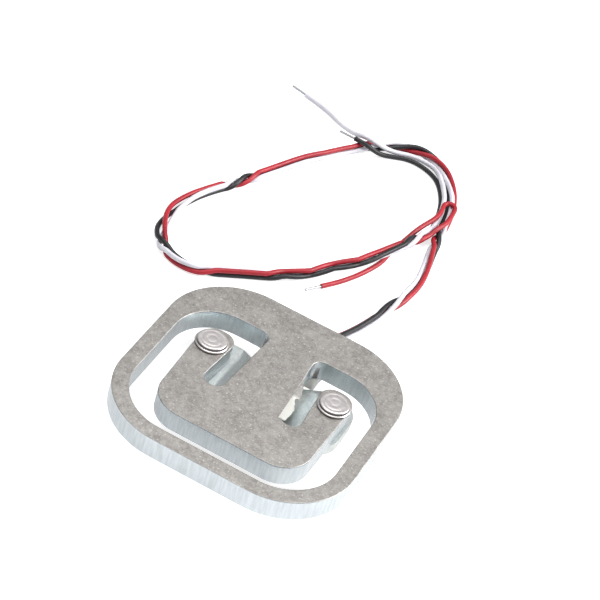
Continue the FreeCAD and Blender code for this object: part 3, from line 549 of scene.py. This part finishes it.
class LOADCELL_OT_gauges(bpy.types.Operator):
    """Gives the gauges, their foil and the link wires their finish"""
    bl_idname = "loadcell.gauges"
    bl_label = "Strain gauges"

    def execute(self, context):
        tint = colours()
        film = thin_sheet("Polyimide film", tint.film, 0.3, 0.0, 1.2, 0.01)
        foil = thin_sheet("Constantan foil, etched", tint.foil, 0.32, 0.9, 0.5, 0.004)
        lacquer = thin_sheet("Copper wire, lacquered", tint.copper, 0.28, 0.8, 0.8, 0.004)
        for place in ("front", "back"):
            dress(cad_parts[f"gauge_film_{place}"], film)
            dress(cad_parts[f"gauge_grid_{place}"], foil)
        dress(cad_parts["link_wires"], lacquer)
        return {"FINISHED"}


class LOADCELL_OT_terminal(bpy.types.Operator):
    """Dresses the terminal strip, its pads and the solder joints"""
    bl_idname = "loadcell.terminal"
    bl_label = "Terminal strip"

    def execute(self, context):
        tint = colours()
        board = thin_sheet("Glass-fibre board", tint.board, 0.45, 0.0, 0.6, 0.01)
        pads = thin_sheet("Copper pads, tinned", tint.copper, 0.3, 0.9, 0.4, 0.005)
        dress(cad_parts["terminal_strip"], board)
        dress(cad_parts["terminal_pads"], pads)
        solder = tinned("Tin solder, flowed", tint.solder, 0.22)
        for wire in TAIL_ROUTES:
            smoothed_node(f"joint_of_{wire}_wire", f"solder_joint_{wire}", solder)
        return {"FINISHED"}


# The bead is cut into squares of this side, so that its lumps show. They are as wide as the nozzle's tip, with
# finer ones on them. All in millimetres.
COAT_SQUARE = 0.6
LUMP_WIDTH, FINE_LUMP_WIDTH, FINE_LUMP_SHARE = 2.1, 0.8, 0.4
# The bead draws in towards the slot. That begins this far behind the plate's middle, is full after the turn,
# and takes this share of what lies further out than the edge.
COAT_BACK, COAT_TURN, COAT_EDGE, COAT_DRAW = 15.5, 4.0, 4.1, 0.8


class LOADCELL_OT_silicone(bpy.types.Operator):
    """Lays the silicone over the gauges and the strip as an uneven bead"""
    bl_idname = "loadcell.silicone"
    bl_label = "Silicone"

    def execute(self, context):
        mesh = merged_copy("silicone_coating")
        shape = shape_of(mesh)
        low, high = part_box("silicone_coating")
        for axis in (0, 1):
            for i in range(1, int((high[axis] - low[axis]) / (COAT_SQUARE * MM))):
                place, across = Vector(), Vector()
                place[axis], across[axis] = low[axis] + i * COAT_SQUARE * MM, 1
                bmesh.ops.bisect_plane(shape, geom=shape.verts[:] + shape.edges[:] + shape.faces[:],
                                       plane_co=place, plane_no=across)
        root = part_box("sensing_plate")[0].z
        for vert in shape.verts:
            depth = (root - vert.co.z) / (root - low.z)
            lump = noise.noise(vert.co / (LUMP_WIDTH * MM))
            lump += FINE_LUMP_SHARE * noise.noise(vert.co / (FINE_LUMP_WIDTH * MM))
            vert.co.z += sizes().coat_lumps * lump * depth
            # It draws in smoothly by the slot behind the right arm.
            inwards = min(max((COAT_BACK * MM - vert.co.y) / (COAT_TURN * MM), 0), 1)
            drawn = COAT_DRAW * inwards * inwards * (3 - 2 * inwards)
            vert.co.x -= max(vert.co.x - COAT_EDGE * MM, 0) * drawn
        finished(shape, mesh, SHARP_ON_SOFT)
        coat = place_piece("silicone_bead", mesh, ["silicone_coating"])
        dress(coat, cured_silicone("Silicone, cured", colours().silicone))
        return {"FINISHED"}


# ---------------------------------------------------------------- lead


def made_mesh(curve):
    """The mesh of a curve, which is then removed."""
    guide = bpy.data.objects.new(curve.name, curve)
    mesh = bpy.data.meshes.new_from_object(guide)
    bpy.data.objects.remove(guide)
    bpy.data.curves.remove(curve)
    return mesh


def smooth_line(route):
    """The places along the smooth line that a route's points pull into shape."""
    curve = bpy.data.curves.new("route", "CURVE")
    curve.dimensions = "3D"
    curve.resolution_u = STEPS_BETWEEN_POINTS
    spline = curve.splines.new("NURBS")
    spline.points.add(len(route) - 1)
    for point, place in zip(spline.points, route):
        point.co = (*(c * MM for c in place), 1)
    spline.order_u = 3
    spline.use_endpoint_u = True
    mesh = made_mesh(curve)
    places = [v.co.copy() for v in mesh.vertices]
    bpy.data.meshes.remove(mesh)
    return places


def between(table, at):
    """The value of a table of (place, value) pairs at a place, in a straight line between them."""
    for (x0, y0), (x1, y1) in zip(table, table[1:]):
        if at <= x1:
            return y0 + (y1 - y0) * (at - x0) / (x1 - x0)
    return table[-1][1]


def strand(middle, name):
    """One wire's places as it winds about the middle of the bundle."""
    places, run = [], 0.0
    for i, place in enumerate(middle):
        before, after = middle[max(i - 1, 0)], middle[min(i + 1, len(middle) - 1)]
        if i:
            run += (place - middle[i - 1]).length / MM
        along = (after - before).normalized()
        across = along.cross(Vector((0, 0, 1))).normalized()
        over = across.cross(along)
        turn = math.radians(between(TWIST, run) + TURN_FROM_RED[name])
        places.append(place + across * (math.cos(turn) * between(LOOSENESS, run) * MM)
                      + over * (math.sin(turn) * HEIGHT_IN_BUNDLE * MM))
    return places


def tube(name, places, diameter):
    """A round tube whose rings stand on the places."""
    curve = bpy.data.curves.new(name, "CURVE")
    curve.dimensions = "3D"
    spline = curve.splines.new("POLY")
    spline.points.add(len(places) - 1)
    for point, place in zip(spline.points, places):
        point.co = (*place, 1)
    curve.bevel_depth = diameter / 2
    curve.bevel_resolution = ROUNDNESS_OF_A_WIRE
    curve.use_fill_caps = True
    mesh = made_mesh(curve)
    mesh.name = name
    shape = shape_of(mesh)
    bmesh.ops.remove_doubles(shape, verts=shape.verts, dist=SAME_PLACE)
    bmesh.ops.recalc_face_normals(shape, faces=shape.faces)
    return finished(shape, mesh, SHARP_ON_SOFT)


def thinned(places, gap):
    """The places with those left out that stand closer than the gap to the last one kept."""
    kept = [places[0]]
    for place in places[1:-1]:
        if (place - kept[-1]).length >= gap:
            kept.append(place)
    return kept + [places[-1]]


class LOADCELL_OT_lead(bpy.types.Operator):
    """Runs the three insulated wires from their joints through the twist to their tips"""
    bl_idname = "loadcell.lead"
    bl_label = "Lead"

    def execute(self, context):
        tint = colours()
        middle = thinned(smooth_line(BUNDLE_ROUTE), STEP_IN_BUNDLE * MM)
        for name in ("red", "white", "black"):
            tail, end = smooth_line(TAIL_ROUTES[name]), smooth_line(END_ROUTES[name])
            places = thinned(tail[:-1] + strand(middle, name) + end[1:], STEP_OF_A_WIRE * MM)
            mesh = tube(f"{name}_wire", places, sizes().wire)
            wire = place_piece(f"{name}_wire", mesh,
                               [f"lead_tail_{name}", "wire_bundle", f"wire_end_{name}"])
            dress(wire, soft_pvc(f"Soft PVC, {name}", getattr(tint, name)))
        return {"FINISHED"}


class LOADCELL_OT_tips(bpy.types.Operator):
    """Gives the bare ends of the wires their tin"""
    bl_idname = "loadcell.tips"
    bl_label = "Tinned tips"

    def execute(self, context):
        tin = tinned("Copper strands, tinned", colours().solder, 0.3)
        for name in END_ROUTES:
            dress(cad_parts[f"tinned_end_{name}"], tin)
        return {"FINISHED"}


# ---------------------------------------------------------------- stage

CAMERA_TARGET = Vector((-3.65, 19.36, 7.5)) * MM
CAMERA_AZIMUTH = 14.72
CAMERA_ELEVATION = 39.75
CAMERA_ROLL = 17.69
CAMERA_DISTANCE = 307.5 * MM
CAMERA_LENS, CAMERA_SENSOR = 136.1, 36.0
CAMERA_SEES_FROM, CAMERA_SEES_TO = 0.01, 10.0

# Name, place in metres, side in metres, and watts. All face the point between the plate and the lead.
LAMPS = [("lamp_right", (0.36, 0.2, 0.28), 0.26, 2.7), ("lamp_front", (-0.12, -0.42, 0.26), 0.3, 0.15),
         ("lamp_over", (-0.05, 0.1, 0.6), 0.4, 2.3)]
LAMPS_FACE = (0, 0.02, 0)

FLOOR_HALF_SIDE = 1.5
# How much the floor glows by itself to be white where the camera, polished metal and clear things look at it.
GLOW_SEEN, GLOW_MIRRORED, GLOW_THROUGH = 0.7, 0.25, 0.4
SOFT_LIGHT, SOFT_COLOUR = 0.42, (0.96, 0.98, 1.0, 1)
WHITE = (1, 1, 1, 1)


class LOADCELL_OT_stage(bpy.types.Operator):
    """Sets the floor, the lamps, the world and the camera"""
    bl_idname = "loadcell.stage"
    bl_label = "Stage"

    def execute(self, context):
        self.floor()
        self.world(context.scene)
        for lamp in LAMPS:
            self.lamp(*lamp)
        self.camera(context.scene)
        context.scene.view_settings.view_transform = "Standard"
        return {"FINISHED"}

    def floor(self):
        """A pale board that keeps the shadow and is white to the camera."""
        shape = bmesh.new()
        bmesh.ops.create_grid(shape, x_segments=1, y_segments=1, size=FLOOR_HALF_SIDE)
        mesh = bpy.data.meshes.new("floor")
        shape.to_mesh(mesh)
        shape.free()
        floor = bpy.data.objects.new("floor", mesh)
        bpy.context.scene.collection.objects.link(floor)
        material, tree, shader = new_material("Pale board", srgb("e2e2e2"), 0.9)
        output = next(n for n in tree.nodes if n.type == "OUTPUT_MATERIAL")
        path = add_node(tree, "ShaderNodeLightPath").outputs
        glow = add_node(tree, "ShaderNodeMath", {"operation": "MULTIPLY", "in:1": GLOW_SEEN},
                        i0=path["Is Camera Ray"])
        for share, ray in ((GLOW_MIRRORED, "Is Glossy Ray"), (GLOW_THROUGH, "Is Transmission Ray")):
            glow = add_node(tree, "ShaderNodeMath", {"operation": "MULTIPLY_ADD", "in:1": share}, i0=path[ray],
                            i2=glow.outputs[0])
        light = add_node(tree, "ShaderNodeEmission", {"in:Color": WHITE}, Strength=glow.outputs[0])
        together = add_node(tree, "ShaderNodeAddShader", None, i0=shader.outputs[0], i1=light.outputs[0])
        tree.links.new(together.outputs[0], output.inputs["Surface"])
        dress(floor, material)

    def world(self, scene):
        """Soft light from all around, and white behind everything."""
        world = bpy.data.worlds.new("studio")
        world.use_nodes = True
        scene.world = world
        tree = world.node_tree
        tree.nodes.clear()
        path = add_node(tree, "ShaderNodeLightPath")
        soft = add_node(tree, "ShaderNodeBackground", {"in:Color": SOFT_COLOUR, "in:Strength": SOFT_LIGHT})
        white = add_node(tree, "ShaderNodeBackground", {"in:Color": WHITE, "in:Strength": 1.0})
        pick = add_node(tree, "ShaderNodeMixShader", None, i0=path.outputs["Is Camera Ray"], i1=soft.outputs[0],
                        i2=white.outputs[0])
        add_node(tree, "ShaderNodeOutputWorld", None, Surface=pick.outputs[0])

    def lamp(self, name, place, width, power):
        """A soft square lamp."""
        light = bpy.data.lights.new(name, "AREA")
        light.shape = "SQUARE"
        light.size = width
        light.energy = power
        obj = bpy.data.objects.new(name, light)
        obj.location = place
        obj.rotation_euler = (Vector(LAMPS_FACE) - Vector(place)).to_track_quat("-Z", "Y").to_euler()
        bpy.context.scene.collection.objects.link(obj)

    def camera(self, scene):
        """The camera, looking at its target from the front, right and above, and rolled."""
        azimuth, elevation, roll = (math.radians(a) for a in (CAMERA_AZIMUTH, CAMERA_ELEVATION, CAMERA_ROLL))
        level = Vector((math.sin(azimuth), -math.cos(azimuth), 0))
        back = level * math.cos(elevation) + Vector((0, 0, math.sin(elevation)))
        right = Vector((math.cos(azimuth), math.sin(azimuth), 0))
        up = back.cross(right)
        rolled_right = right * math.cos(roll) + up * math.sin(roll)
        rolled_up = up * math.cos(roll) - right * math.sin(roll)
        turn = Matrix((rolled_right, rolled_up, back)).transposed()
        lens = bpy.data.cameras.new("camera")
        lens.lens = CAMERA_LENS
        lens.sensor_width = CAMERA_SENSOR
        lens.clip_start, lens.clip_end = CAMERA_SEES_FROM, CAMERA_SEES_TO
        camera = bpy.data.objects.new("camera", lens)
        camera.matrix_world = Matrix.Translation(CAMERA_TARGET + back * CAMERA_DISTANCE) @ turn.to_4x4()
        scene.collection.objects.link(camera)
        scene.camera = camera


class LOADCELL_PT_panel(bpy.types.Panel):
    """Lists the pieces of the load cell"""
    bl_idname = "LOADCELL_PT_panel"
    bl_label = "Load cell"
    bl_space_type = "VIEW_3D"
    bl_region_type = "UI"
    bl_category = "Load cell"

    def draw(self, context):
        for operator in OPERATORS:
            self.layout.operator(operator.bl_idname)
        for group in (context.scene.load_cell_sizes, context.scene.load_cell_colours):
            box = self.layout.box()
            for name in group.__annotations__:
                box.prop(group, name)


OPERATORS = (LOADCELL_OT_plate, LOADCELL_OT_bracket, LOADCELL_OT_rivets, LOADCELL_OT_gauges,
             LOADCELL_OT_terminal, LOADCELL_OT_silicone, LOADCELL_OT_lead, LOADCELL_OT_tips, LOADCELL_OT_stage)
CLASSES = (LoadCellSizes, LoadCellColours, *OPERATORS, LOADCELL_PT_panel)


def register():
    for item in CLASSES:
        bpy.utils.register_class(item)
    bpy.types.Scene.load_cell_sizes = PointerProperty(type=LoadCellSizes)
    bpy.types.Scene.load_cell_colours = PointerProperty(type=LoadCellColours)


def unregister():
    del bpy.types.Scene.load_cell_colours
    del bpy.types.Scene.load_cell_sizes
    for item in reversed(CLASSES):
        bpy.utils.unregister_class(item)


def main():
    register()
    for operator in OPERATORS:
        group, name = operator.bl_idname.split(".")
        getattr(getattr(bpy.ops, group), name)()


if __name__ == "__main__":
    main()
